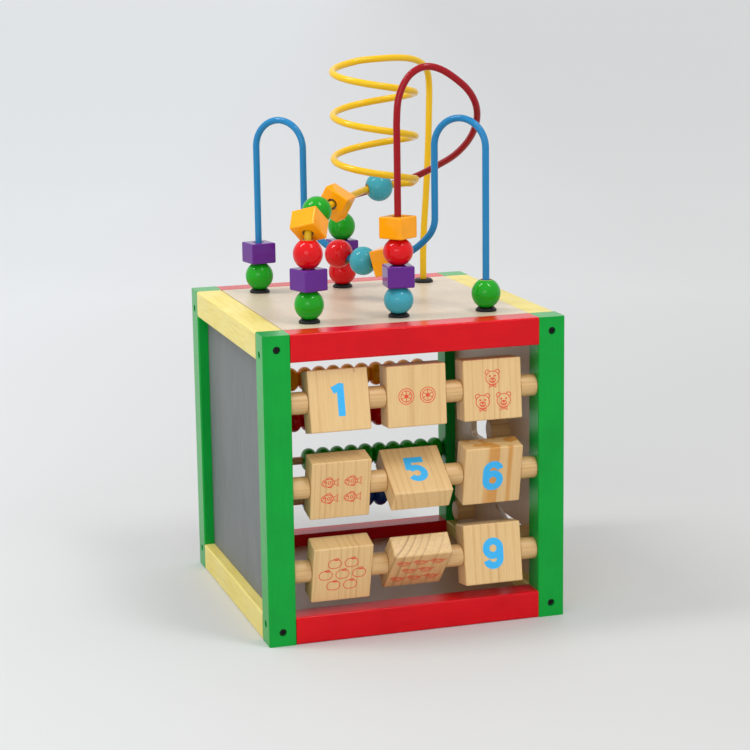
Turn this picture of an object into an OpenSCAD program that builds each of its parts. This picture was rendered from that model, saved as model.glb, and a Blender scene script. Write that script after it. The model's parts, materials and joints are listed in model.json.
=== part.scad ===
// Baby activity cube: a square wooden frame with spinning number blocks in
// front, an abacus at the back, a chalkboard on the left, a sliding-peg board
// on the right and a bead maze of bent wires on top.

/* [Frame] */
// outside width, depth and height of the cube
cube_w = 280; // [260:1:300]
// side of the square post and rail stock
stock = 25; // [22:0.5:28]
// rounding of the long edges of posts and rails
edge_r = 1.8; // [1:0.1:3]
// thickness of the top panel
top_t = 9; // [6:0.5:12]
// thickness of the chalkboard and of the bottom panel
board_t = 5; // [4:0.5:6]
// thickness of the sliding-peg board
track_t = 6; // [5:0.5:7]
// depth of the grooves that hold the panels
groove_d = 5; // [4:0.5:6]
// radius of the counterbores for the frame screws
sink_r = 3.4; // [3:0.1:4]

/* [Number blocks] */
// width and height of a number block
block_w = 55; // [50:1:56]
// thickness of a number block
block_t = 22; // [18:1:26]
// bevel on the edges of a number block
block_bevel = 1.2; // [0.5:0.1:2]
// radius of the rods that carry the number blocks
dowel_r = 5; // [4:0.5:6]
// radius of the spacers between the number blocks
spacer_r = 10; // [8:0.5:11]
// distance between the rows of number blocks
row_pitch = 76.5; // [72:0.5:78]

/* [Abacus] */
// radius of an abacus rod
rod_r = 4; // [3:0.5:5]
// radius of an abacus bead
disc_r = 12; // [10:0.5:14]
// thickness of an abacus bead
disc_t = 14.8; // [12:0.1:14.8]
// height of the lowest abacus rod
abacus_z = 57; // [50:1:60]
// distance between the abacus rods
abacus_pitch = 42; // [36:1:44]

/* [Bead maze] */
// radius of the coated wires
wire_r = 3.2; // [2.5:0.1:3.2]
// radius of the hole through a maze bead
bore_r = 5.2; // [5.2:0.1:5.6]
// radius of a ball bead
ball_r = 13.5; // [12.8:0.1:13.5]
// height of a ball bead between its flat ends
ball_h = 23.6; // [23:0.1:23.8]
// radius of an oval bead
oval_r = 13.3; // [12:0.1:13.3]
// height of an oval bead between its flat ends
oval_h = 25.4; // [24:0.1:26]
// side of a square bead
cubit_w = 24.8; // [22:0.1:24.8]
// height of a square bead
cubit_h = 19.6; // [18:0.1:20.4]
// sideways distance from the middle wires to the outer ones
grid_x = 83.5; // [80:0.5:86]
// distance from the middle of the cube to the front and rear wire ends
grid_y = 89; // [84:0.5:92]
// radius of the yellow coil
coil_r = 38; // [34:1:40]
// drop of the yellow coil in one turn
coil_pitch = 40; // [36:1:42]

/* [Hidden] */
$fn = 64;
W = cube_w;
M = W / 2;
inn = stock;
far = W - stock;
mid = stock / 2;
clear = 0.15;
// the number blocks' tilt at rest, one for each of the nine
tilt = [13, 4, 5, -11.5, 56, -11, -16, -45, 9];
spacer_l = (far - inn - 3 * block_w - 1.8) / 4;
block_pitch = block_w + spacer_l + 0.6;
block_x = [M - block_pitch, M, M + block_pitch];
row_z = [M + row_pitch, M, M - row_pitch];
// the fifth block sticks out farthest in front
reach = max((block_t / 2 - block_bevel) * cos(tilt[4]) + block_w / 2 * sin(tilt[4]),
            block_t / 2 * cos(tilt[4]) + (block_w / 2 - block_bevel) * sin(tilt[4]));
mid_y = (W + mid - reach) / 2;
board_x = mid - board_t / 2;
track_x = far + 10;
low_screw = 12.8;
high_screw = 18.3;

green = [0.02, 0.42, 0.10];
red = [0.80, 0.02, 0.03];
cream = [0.93, 0.83, 0.42];
ply = [0.80, 0.70, 0.56];
pine = [0.83, 0.62, 0.37];
slate = [0.28, 0.30, 0.30];

// the ends of the wires: front or rear, left, middle or right
foot = [[M - grid_x, M + grid_y], [M - grid_x, M - grid_y], [M, M + grid_y],
        [M, M - grid_y], [M + grid_x, M + grid_y], [M + grid_x, M - grid_y]];
foot_h = 3.5;
stack_z = W + foot_h;
wire_end = W - top_t + 0.5;

module shift() translate([-M, -mid_y, 0]) children();

module soft_square(a, b, r) {
    translate([r, 0]) square([a - 2 * r, b]);
    translate([0, r]) square([a, b - 2 * r]);
    for (x = [r, a - r], y = [r, b - r]) translate([x, y]) circle(r);
}

module post(side_x, side_y, groove_x, groove_w, blocks, rods) {
    x0 = side_x * (W - stock);
    y0 = side_y * (W - stock);
    sx = 1 - 2 * side_x;
    sy = 1 - 2 * side_y;
    difference() {
        translate([x0, y0, 0]) linear_extrude(W) soft_square(stock, stock, edge_r);
        // groove for the side panel
        if (groove_w > 0)
            translate([groove_x - clear / 2, side_y ? y0 - 1 : stock - groove_d - 0.3, inn - groove_d - 0.3])
                cube([groove_w + clear, groove_d + 1.3, W - 2 * stock + 2 * groove_d + 0.6]);
        for (z = [low_screw, W - low_screw]) {
            translate([x0 + mid, y0 - 1, z]) rotate([-90, 0, 0]) cylinder(r = 2.2, h = stock + 2);
            translate([x0 + mid, side_y ? W + 1 : -1, z]) rotate([side_y ? 90 : -90, 0, 0]) cylinder(r = sink_r, h = 6);
        }
        for (z = [high_screw, W - high_screw]) {
            translate([x0 - 1, y0 + mid, z]) rotate([0, 90, 0]) cylinder(r = 2.2, h = stock + 2);
            translate([side_x ? W + 1 : -1, y0 + mid, z]) rotate([0, side_x ? -90 : 90, 0]) cylinder(r = sink_r, h = 6);
        }
        if (blocks) for (z = row_z)
            translate([side_x ? far - 1 : inn - 10, mid, z]) rotate([0, 90, 0]) cylinder(r = dowel_r + 0.05, h = 11);
        if (rods) for (i = [0:4])
            translate([side_x ? far - 1 : inn - 10, W - mid, abacus_z + i * abacus_pitch]) rotate([0, 90, 0]) cylinder(r = rod_r + 0.05, h = 11);
    }
}

module post_front_left() color(green) shift() post(0, 0, board_x, board_t, true, false);
module post_front_right() color(green) shift() post(1, 0, track_x, track_t, true, false);
module post_rear_left() color(green) shift() post(0, 1, board_x, board_t, false, true);
module post_rear_right() color(green) shift() post(1, 1, track_x, track_t, false, true);

// a rail along X in the front (0) or rear (1), low (0) or high (1)
module rail_x(rear, high) {
    y0 = rear * (W - stock);
    z0 = high * (W - stock);
    inner = rear ? y0 : y0 + stock;
    difference() {
        translate([inn, y0, z0]) rotate([90, 0, 90]) linear_extrude(W - 2 * stock) soft_square(stock, stock, edge_r);
        for (x = [inn - 1, far - 31]) translate([x, y0 + mid, high ? W - high_screw : high_screw]) rotate([0, 90, 0]) cylinder(r = 2.05, h = 32);
        panel_groove_x(inner, rear, high);
    }
}

module panel_groove_x(inner, rear, high) {
    t = high ? 4 : board_t;
    z = high ? W - top_t + 2 : 8;
    translate([inn - 1, rear ? inner - 1 : inner - groove_d - 0.2, z - clear / 2]) cube([W - 2 * stock + 2, groove_d + 1.2, t + clear]);
}

// a rail along Y on the left (0) or right (1), low (0) or high (1)
module rail_y(right, high) {
    x0 = right * (W - stock);
    z0 = high * (W - stock);
    t = high ? 4 : board_t;
    z = high ? W - top_t + 2 : 8;
    gx = right ? track_x : board_x;
    gw = right ? track_t : board_t;
    difference() {
        translate([x0, far, z0]) rotate([90, 0, 0]) linear_extrude(W - 2 * stock) soft_square(stock, stock, edge_r);
        for (y = [inn - 1, far - 31]) translate([x0 + mid, y, high ? W - low_screw : low_screw]) rotate([-90, 0, 0]) cylinder(r = 2.05, h = 32);
        translate([right ? x0 - 1 : x0 + stock - groove_d - 0.2, inn - 1, z - clear / 2]) cube([groove_d + 1.2, W - 2 * stock + 2, t + clear]);
        translate([gx - clear / 2, inn - 1, high ? z0 - 1 : z0 + stock - groove_d - 0.3]) cube([gw + clear, W - 2 * stock + 2, groove_d + 1.3]);
    }
}

module rail_front_bottom() color(red) shift() rail_x(0, 0);
module rail_front_top() color(red) shift() rail_x(0, 1);
module rail_rear_bottom() color(red) shift() rail_x(1, 0);
module rail_rear_top() color(red) shift() rail_x(1, 1);
module rail_left_bottom() color(cream) shift() rail_y(0, 0);
module rail_left_top() color(cream) shift() rail_y(0, 1);
module rail_right_bottom() color(cream) shift() rail_y(1, 0);
module rail_right_top() color(cream) shift() rail_y(1, 1);

module top_panel() color(ply) shift() difference() {
    union() {
        translate([inn + clear, inn + clear, W - top_t]) cube([W - 2 * stock - 2 * clear, W - 2 * stock - 2 * clear, top_t]);
        translate([inn - groove_d + 0.5, inn + 1, W - top_t + 2]) cube([W - 2 * stock + 2 * groove_d - 1, W - 2 * stock - 2, 4]);
        translate([inn + 1, inn - groove_d + 0.5, W - top_t + 2]) cube([W - 2 * stock - 2, W - 2 * stock + 2 * groove_d - 1, 4]);
    }
    for (p = foot) translate([p[0], p[1], W - top_t - 1]) cylinder(r = wire_r + 0.1, h = top_t + 2);
}

module bottom_panel() color(ply) shift() {
    translate([inn - groove_d + 0.3, inn + 0.4, 8]) cube([W - 2 * stock + 2 * groove_d - 0.6, W - 2 * stock - 0.8, board_t]);
    translate([inn + 0.4, inn - groove_d + 0.3, 8]) cube([W - 2 * stock - 0.8, W - 2 * stock + 2 * groove_d - 0.6, board_t]);
}

module chalkboard() color(slate) shift()
    translate([board_x, inn - groove_d + 0.3, inn - groove_d + 0.3]) cube([board_t, W - 2 * stock + 2 * groove_d - 0.6, W - 2 * stock + 2 * groove_d - 0.6]);

// a straight slot through the peg board from one point to another, y and z
module slot(a, b, r) {
    d = [b[0] - a[0], b[1] - a[1]];
    len = norm(d);
    translate([track_x - 1, a[0], a[1]]) rotate([atan2(d[1], d[0]), 0, 0]) {
        rotate([0, 90, 0]) cylinder(r = r, h = track_t + 2);
        translate([0, len, 0]) rotate([0, 90, 0]) cylinder(r = r, h = track_t + 2);
        translate([0, 0, -r]) cube([track_t + 2, len, 2 * r]);
    }
}

peg_1 = [207, 49];
peg_2 = [109, 153];
peg_3 = [48, 65];
peg_gap = 0.3;
slot_r = 4;

module track_panel() color(ply) shift() difference() {
    translate([track_x, inn - groove_d + 0.3, inn - groove_d + 0.3]) cube([track_t, W - 2 * stock + 2 * groove_d - 0.6, W - 2 * stock + 2 * groove_d - 0.6]);
    slot(peg_1, [peg_1[0], 95], slot_r);
    slot([peg_1[0], 95], [150, 95], slot_r);
    slot(peg_2, [peg_2[0], 213], slot_r);
    slot(peg_3, [115, peg_3[1]], slot_r);
    slot([115, peg_3[1]], [137, 72.5], slot_r);
    // the window
    translate([track_x - 1, 163, 127]) rotate([90, 0, 90]) linear_extrude(track_t + 2) soft_square(43, 43, 6);
}

module slider(p) translate([0, p[0], p[1]]) {
    translate([track_x + track_t + peg_gap, 0, 0]) rotate([0, 90, 0]) cylinder(r = 11, h = 8);
    translate([track_x - 1, 0, 0]) rotate([0, 90, 0]) cylinder(r = slot_r - 0.3, h = track_t + 2);
    translate([track_x - 17.5, 0, 0]) rotate([0, 90, 0]) cylinder(r = 10, h = 17.5 - peg_gap);
}

module slider_1() color([0.85, 0.05, 0.05]) shift() slider(peg_1);
module slider_2() color([0.10, 0.35, 0.75]) shift() slider(peg_2);
module slider_3() color([0.95, 0.75, 0.10]) shift() slider(peg_3);

// the rods: three for the number blocks, five for the abacus
module rods() color(pine) shift() {
    for (z = row_z) translate([inn - 9.5, mid, z]) rotate([0, 90, 0]) cylinder(r = dowel_r, h = W - 2 * stock + 19);
    for (i = [0:4]) translate([inn - 9.5, W - mid, abacus_z + i * abacus_pitch]) rotate([0, 90, 0]) cylinder(r = rod_r, h = W - 2 * stock + 19);
}

module block_spacers() color(pine) shift()
    for (z = row_z, x = [inn, block_x[0] + block_w / 2 + 0.3, block_x[1] + block_w / 2 + 0.3, block_x[2] + block_w / 2 + 0.3])
        translate([x, mid, z]) rotate([0, 90, 0]) difference() {
            cylinder(r = spacer_r, h = spacer_l);
            translate([0, 0, -1]) cylinder(r = dowel_r + 0.1, h = spacer_l + 2);
        }

module beveled(a, b, c) polygon([[-a + c, -b], [a - c, -b], [a, -b + c], [a, b - c], [a - c, b], [-a + c, b], [-a, b - c], [-a, -b + c]]);

module number_block(n) {
    a = block_w / 2;
    t = block_t / 2;
    c = block_bevel;
    translate([block_x[(n - 1) % 3], mid, row_z[floor((n - 1) / 3)]]) rotate([-tilt[n - 1], 0, 0]) difference() {
        intersection() {
            translate([0, 0, -a]) linear_extrude(2 * a) beveled(a, t, c);
            rotate([90, 0, 0]) translate([0, 0, -t]) linear_extrude(2 * t) beveled(a, a, c);
            rotate([90, 0, 90]) translate([0, 0, -a]) linear_extrude(2 * a) beveled(t, a, c);
        }
        rotate([0, 90, 0]) translate([0, 0, -a - 1]) cylinder(r = dowel_r + 0.08, h = 2 * a + 2);
    }
}

module number_block_1() color(pine) shift() number_block(1);
module number_block_2() color(pine) shift() number_block(2);
module number_block_3() color(pine) shift() number_block(3);
module number_block_4() color(pine) shift() number_block(4);
module number_block_5() color(pine) shift() number_block(5);
module number_block_6() color(pine) shift() number_block(6);
module number_block_7() color(pine) shift() number_block(7);
module number_block_8() color(pine) shift() number_block(8);
module number_block_9() color(pine) shift() number_block(9);

// ten round-rimmed beads on a rod, starting at x
module abacus_row(x, i) {
    h = disc_t / 2;
    for (k = [0:9]) translate([x + k * (disc_t + 0.1) + h, W - mid, abacus_z + i * abacus_pitch]) rotate([0, 90, 0]) rotate_extrude() intersection() {
        union() {
            translate([disc_r - h, 0]) circle(h);
            translate([0, -h]) square([disc_r - h, disc_t]);
        }
        translate([rod_r + 0.3, -h - 1]) square([disc_r, disc_t + 2]);
    }
}

module abacus_row_1() color([0.03, 0.12, 0.55]) shift() abacus_row(105.4, 0);
module abacus_row_2() color([0.02, 0.40, 0.10]) shift() abacus_row(105.4, 1);
module abacus_row_3() color([0.75, 0.02, 0.03]) shift() abacus_row(60, 2);
module abacus_row_4() color([0.90, 0.28, 0.02]) shift() abacus_row(88, 3);
module abacus_row_5() color([0.90, 0.65, 0.05]) shift() abacus_row(25.6, 4);

// ---- wires ----

// the blue wire lies in one upright plane: s along it, z up
blue_dir = foot[5] - foot[0];
blue_len = norm(blue_dir);
blue_turn = atan2(blue_dir[1], blue_dir[0]);
arch_r = 26;
arch_1 = 420.5;
arch_2 = 428;
valley_r = 86;
valley_z = 317.2 + valley_r;
leg_2 = 2 * arch_r;
leg_3 = blue_len - 2 * arch_r;
valley_s = (leg_2 + leg_3) / 2;
bend_s = valley_s - leg_2 - arch_r;
bend_z = valley_z - sqrt(pow(valley_r - arch_r, 2) - pow(bend_s, 2));
bend_a = atan2(bend_s, valley_z - bend_z);

module in_blue_plane() translate([foot[0][0], foot[0][1], 0]) rotate([0, 0, blue_turn]) rotate([90, 0, 0]) children();
function blue_at(s, z) = [foot[0][0] + s * cos(blue_turn), foot[0][1] + s * sin(blue_turn), z];
// points on an arc in the blue plane, n steps
function blue_arc(s, z, r, from, to, n) = [for (i = [0:n]) let (a = from + (to - from) * i / n) blue_at(s + r * cos(a), z + r * sin(a))];

blue_route = concat([blue_at(0, wire_end)],
    blue_arc(arch_r, arch_1, arch_r, 180, 0, 24),
    blue_arc(leg_2 + arch_r, bend_z, arch_r, 180, 270 - bend_a, 6),
    blue_arc(valley_s, valley_z, valley_r, 275 - bend_a, 265 + bend_a, 16),
    blue_arc(leg_3 - arch_r, bend_z, arch_r, 270 + bend_a, 360, 6),
    blue_arc(leg_3 + arch_r, arch_2, arch_r, 180, 0, 24),
    [blue_at(blue_len, wire_end)]);

module blue_wire() color([0.05, 0.28, 0.62]) shift() sweep(blue_route, wire_r, 12);

function unit(v) = v / norm(v);
// a smooth curve through the points, n steps from each to the next
function smooth(p, n) = let (m = len(p) - 1) concat([for (i = [0:m - 1], k = [0:n - 1])
    let (a = i == 0 ? 2 * p[0] - p[1] : p[i - 1], b = p[i], c = p[i + 1], d = i == m - 1 ? 2 * p[m] - p[m - 1] : p[i + 2], t = k / n)
        0.5 * (2 * b + (c - a) * t + (2 * a - 5 * b + 4 * c - d) * t * t + (3 * b - a - 3 * c + d) * t * t * t)], [p[m]]);

// a round wire through the points
module sweep(p, r, sides) {
    m = len(p);
    tan = [for (i = [0:m - 1]) unit(p[min(i + 1, m - 1)] - p[max(i - 1, 0)])];
    side = [for (i = 0, v = unit(cross(tan[0], [1, 0.3, 0.1])); i < m; i = i + 1,
        v = i < m ? unit(v - (v * tan[i]) * tan[i]) : v) v];
    ring = [for (i = [0:m - 1]) let (u = side[i], w = cross(tan[i], u)) for (k = [0:sides - 1])
        p[i] + r * (cos(360 * k / sides) * u + sin(360 * k / sides) * w)];
    quads = [for (i = [0:m - 2], k = [0:sides - 1]) let (a = i * sides + k, b = i * sides + (k + 1) % sides)
        each [[a, a + sides, b], [b, a + sides, b + sides]]];
    polyhedron(ring, concat([[for (k = [0:sides - 1]) k]], quads, [[for (k = [sides - 1:-1:0]) (m - 1) * sides + k]]));
}

red_route = concat([[M, M + grid_y, wire_end], [M, M + grid_y, 345]], smooth([[M, M + grid_y, 352], [141, 228.5, 361],
    [147, 224, 368.5], [157, 216, 373], [178, 200, 381], [197, 178, 390], [210, 152, 402], [219, 126, 414], [224.5, 104, 428], [226, 87, 442],
    [224, 74, 456], [218, 64, 469], [208.5, 57, 480.5], [196, 53, 490.5], [183, 51.3, 498.5], [171, 51, 502], [160, 51, 500],
    [149.5, 51, 491.5], [142, 51, 475], [M, M - grid_y, 455]], 5), [[M, M - grid_y, wire_end]]);

module red_wire() color([0.60, 0.01, 0.03]) shift() sweep(red_route, wire_r, 12);

// the yellow wire: up, three turns of coil, a flat bow, a straight run, a bend and down
coil_c = [147, 140];
coil_top = 502;
bow_c = [159, 140, 385.6];
bow_r = 26;
bow_up = unit([-0.13, 0.06, 1]);
bow_u = unit([1, 0, 0.13]);
bow_v = cross(bow_up, bow_u);
bow_end = 141;
run_bend = 24;
run_z = 351;
run_dir = [0.454, 0.891];
function coil(a) = [coil_c[0] + coil_r * cos(a), coil_c[1] + coil_r * sin(a), coil_top - coil_pitch * (a - 90) / 360];
function bow_at(a) = bow_c + bow_r * (cos(a) * bow_u + sin(a) * bow_v);
function bend_at(a) = [foot[1][0] + run_dir[0] * run_bend * (1 - cos(a)), foot[1][1] + run_dir[1] * run_bend * (1 - cos(a)), run_z + run_bend * sin(a)];
run_from = bow_at(bow_end);
run_to = [70, 75.3, 375.3];

yellow_route = concat([[foot[4][0], foot[4][1], wire_end]],
    smooth([[foot[4][0], foot[4][1], 310], [225, 229, 340], [227.5, 229.5, 372], [230, 230, 415], [231, 229.5, 450], [230.5, 227, 472], [226, 219, 487],
    [216, 206.5, 496], [202, 195, 501], [185, 186, 503], [166, 180, 503]], 3),
    [for (a = [90:15:1065]) coil(a)],
    [for (a = [12:11.7:bow_end - 1]) bow_at(a)],
    [run_from, run_from + (run_to - run_from) * 0.25, run_from + (run_to - run_from) * 0.5, run_from + (run_to - run_from) * 0.8, run_to],
    [for (a = [90:-11.25:0]) bend_at(a)], [[foot[1][0], foot[1][1], wire_end]]);

module yellow_wire() color([0.85, 0.62, 0.05]) shift() sweep(yellow_route, wire_r, 12);

module wire_feet() color([0.04, 0.04, 0.04]) shift() for (p = foot) translate([p[0], p[1], W]) difference() {
    rotate_extrude() polygon([[0, 0], [9.6, 0], [9.6, 1.6], [8.2, foot_h], [0, foot_h]]);
    translate([0, 0, -1]) cylinder(r = wire_r + 0.1, h = foot_h + 2);
}

// ---- maze beads ----

// a turned bead: its side bulges in an arc from mouth to mouth, in straight bands
bands = 20;
module turned(r, h) {
    mouth = bore_r + 0.4;
    back = (mouth * mouth + h * h / 4 - r * r) / (2 * (r - mouth));
    lean = asin(h / 2 / (r + back));
    rotate_extrude() polygon(concat([[bore_r, -h / 2]], [for (i = [0:bands]) let (a = lean * (2 * i / bands - 1))
        [(r + back) * cos(a) - back, (r + back) * sin(a)]], [[bore_r, h / 2]]));
}
module ball() turned(ball_r, ball_h);
module oval() turned(oval_r, oval_h);

module cubit() {
    a = cubit_w / 2;
    h = cubit_h / 2;
    difference() {
        intersection() {
            translate([0, 0, -h]) linear_extrude(2 * h) beveled(a, a, 1);
            rotate([90, 0, 0]) translate([0, 0, -a]) linear_extrude(2 * a) beveled(a, h, 1);
            rotate([90, 0, 90]) translate([0, 0, -a]) linear_extrude(2 * a) beveled(a, h, 1);
        }
        cylinder(r = bore_r, h = 4 * h, center = true);
    }
}

// a bead of height h stands on a foot, above beads of the heights below
bead_gap = 0.3;
function total(v, n = 0) = n < len(v) ? v[n] + bead_gap + total(v, n + 1) : 0;
module on_leg(i, below, h, turn = 0) translate([foot[i][0], foot[i][1], stack_z + total(below) + h / 2]) rotate([0, 0, turn]) children();

// the bead's own Z axis follows the wire: at an angle on the blue valley
module on_valley(a, r) in_blue_plane() translate([valley_s, valley_z, 0]) rotate([0, 0, a]) translate([0, -r, 0]) rotate([0, 90, 0]) children();
// on the bend above the front left foot
module on_bend(a, r) translate([foot[1][0], foot[1][1], run_z]) rotate([0, 0, atan2(run_dir[1], run_dir[0])]) translate([run_bend, 0, 0]) rotate([0, a, 0]) translate([-r, 0, 0]) children();

bead_green = [0.05, 0.42, 0.03];
bead_red = [0.82, 0.02, 0.03];
bead_blue = [0.12, 0.50, 0.58];
bead_purple = [0.20, 0.05, 0.42];
bead_orange = [0.95, 0.32, 0.01];

module bead_a1() color(bead_green) shift() on_leg(0, [], oval_h) oval();
module bead_a2() color(bead_purple) shift() on_leg(0, [oval_h], cubit_h, 10.7) cubit();
module bead_b1() color(bead_green) shift() on_leg(1, [], oval_h) oval();
module bead_b2() color(bead_purple) shift() on_leg(1, [oval_h], cubit_h, 20) cubit();
// the red bead rests on the near side of the wire, clear of the tilted bead above
b3_back = [-1.2 * run_dir[0], -1.2 * run_dir[1], 0];
module bead_b3() color(bead_red) shift() translate(b3_back) on_leg(1, [oval_h, cubit_h], oval_h) oval();
module bead_b4() color(bead_orange) shift() on_bend(bend_bead, run_bend - 1.2) rotate([0, 0, -20]) cubit();
module bead_b5() color(bead_green) shift() on_run(run_start) oval();
module bead_c1() color(bead_red) shift() on_leg(2, [], ball_h) ball();
module bead_c2() color(bead_purple) shift() on_leg(2, [ball_h], cubit_h, 8) cubit();
module bead_c3() color(bead_green) shift() on_leg(2, [ball_h, cubit_h], oval_h) oval();
module bead_d1() color(bead_blue) shift() on_leg(3, [], ball_h) ball();
module bead_d2() color(bead_purple) shift() on_leg(3, [ball_h], cubit_h, -5.4) cubit();
module bead_d3() color(bead_red) shift() on_leg(3, [ball_h, cubit_h], ball_h) ball();
module bead_d4() color(bead_orange) shift() on_leg(3, [ball_h, cubit_h, ball_h], cubit_h, 36.2) cubit();
module bead_e1() color(bead_green) shift() on_leg(5, [], oval_h) oval();
module bead_f1() color(bead_red) shift() on_valley(-22.3, valley_r + 0.6) ball();
module bead_f2() color(bead_blue) shift() on_valley(-4.2, valley_r - 0.4) ball();
module bead_f3() color(bead_orange) shift() on_valley(13, valley_r - 0.4) rotate([0, 0, 4]) cubit();

// on the yellow run: at a place, turned about the wire
run_v = unit(run_from - run_to);
run_mid = run_to + run_v * 46;
bend_bead = 43;
run_start = bend_at(90) + 9 * run_v;
module on_run(p, turn = 0) translate(p) rotate([0, 0, atan2(run_v[1], run_v[0])]) rotate([0, acos(run_v[2]), 0]) rotate([0, 0, turn]) children();
module bead_g1() color(bead_orange) shift() on_run(run_mid, 30) cubit();
// on the flat bow under the coil
bow_bead = 92;
bow_tan = -sin(bow_bead) * bow_u + cos(bow_bead) * bow_v;
module bead_g2() color(bead_blue) shift() translate(bow_c + (bow_r - 1.6) * (cos(bow_bead) * bow_u + sin(bow_bead) * bow_v))
    rotate([0, 0, atan2(bow_tan[1], bow_tan[0])]) rotate([0, acos(bow_tan[2]), 0]) ball();

// screws through the posts into the ends of the rails
module screw() {
    difference() {
        cylinder(r = 3, h = 2.6);
        translate([0, 0, -1]) cylinder(r = 1.5, h = 2.4, $fn = 6);
    }
    translate([0, 0, 2.6]) cylinder(r = 2, h = 44);
}
module frame_screws() color([0.10, 0.10, 0.11]) shift() {
    for (x = [mid, W - mid], z = [low_screw, W - low_screw]) {
        translate([x, 2.4, z]) rotate([-90, 0, 0]) screw();
        translate([x, W - 2.4, z]) rotate([90, 0, 0]) screw();
    }
    for (y = [mid, W - mid], z = [high_screw, W - high_screw]) {
        translate([2.4, y, z]) rotate([0, 90, 0]) screw();
        translate([W - 2.4, y, z]) rotate([0, -90, 0]) screw();
    }
}

post_front_left();
post_front_right();
post_rear_left();
post_rear_right();
rail_front_bottom();
rail_front_top();
rail_rear_bottom();
rail_rear_top();
rail_left_bottom();
rail_left_top();
rail_right_bottom();
rail_right_top();
top_panel();
bottom_panel();
chalkboard();
track_panel();
rods();
block_spacers();
number_block_1();
number_block_2();
number_block_3();
number_block_4();
number_block_5();
number_block_6();
number_block_7();
number_block_8();
number_block_9();
abacus_row_1();
abacus_row_2();
abacus_row_3();
abacus_row_4();
abacus_row_5();
slider_1();
slider_2();
slider_3();
blue_wire();
red_wire();
yellow_wire();
wire_feet();
bead_a1();
bead_a2();
bead_b1();
bead_b2();
bead_b3();
bead_b4();
bead_b5();
bead_c1();
bead_c2();
bead_c3();
bead_d1();
bead_d2();
bead_d3();
bead_d4();
bead_e1();
bead_f1();
bead_f2();
bead_f3();
bead_g1();
bead_g2();
frame_screws();
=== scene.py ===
"""The looks of the baby activity cube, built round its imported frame."""

import json
import math

import bmesh
import bpy
import numpy as np
from mathutils import Matrix, Vector

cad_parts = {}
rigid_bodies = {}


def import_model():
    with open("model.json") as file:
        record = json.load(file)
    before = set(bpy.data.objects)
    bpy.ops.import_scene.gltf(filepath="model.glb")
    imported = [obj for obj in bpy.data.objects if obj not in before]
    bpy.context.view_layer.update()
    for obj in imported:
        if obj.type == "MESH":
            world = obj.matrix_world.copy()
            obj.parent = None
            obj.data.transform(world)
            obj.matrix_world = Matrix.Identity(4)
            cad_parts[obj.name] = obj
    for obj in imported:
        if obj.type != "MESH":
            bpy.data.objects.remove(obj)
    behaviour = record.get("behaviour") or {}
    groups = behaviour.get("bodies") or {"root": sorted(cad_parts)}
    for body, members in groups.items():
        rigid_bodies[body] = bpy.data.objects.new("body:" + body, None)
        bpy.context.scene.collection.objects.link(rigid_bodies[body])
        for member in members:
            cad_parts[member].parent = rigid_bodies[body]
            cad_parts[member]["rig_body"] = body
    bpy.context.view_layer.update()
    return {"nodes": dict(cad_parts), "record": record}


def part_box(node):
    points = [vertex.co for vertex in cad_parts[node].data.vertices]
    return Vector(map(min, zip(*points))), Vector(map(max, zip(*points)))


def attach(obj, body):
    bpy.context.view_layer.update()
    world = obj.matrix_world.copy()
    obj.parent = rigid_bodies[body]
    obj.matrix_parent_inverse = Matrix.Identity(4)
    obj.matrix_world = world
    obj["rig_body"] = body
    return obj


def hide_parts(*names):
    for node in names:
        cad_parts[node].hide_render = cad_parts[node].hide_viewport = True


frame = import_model()

MM = 0.001
NODES = frame["nodes"]
CORNER = Vector((*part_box("post_front_left")[0][:2], 0))  # the cube's front left corner on the floor
SIDE = (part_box("post_front_right")[1] - CORNER).x / MM  # the cube's width, in millimetres
MID = SIDE / 2
BODY_OF = {n: o["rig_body"] for n, o in NODES.items()}
SLOT_OF = {s["node"]: s["material_slot"] for s in frame["record"]["subparts"]}
TAU = 2 * math.pi
X, Y, Z = 0, 1, 2


def at(x, y, z):
    """A point in millimetres from the cube's corner, as a point in the frame."""
    return CORNER + Vector((x, y, z)) * MM


def centre(node):
    """The middle of a node's box at rest."""
    low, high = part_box(node)
    return (low + high) / 2


# ---- materials ----


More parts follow.
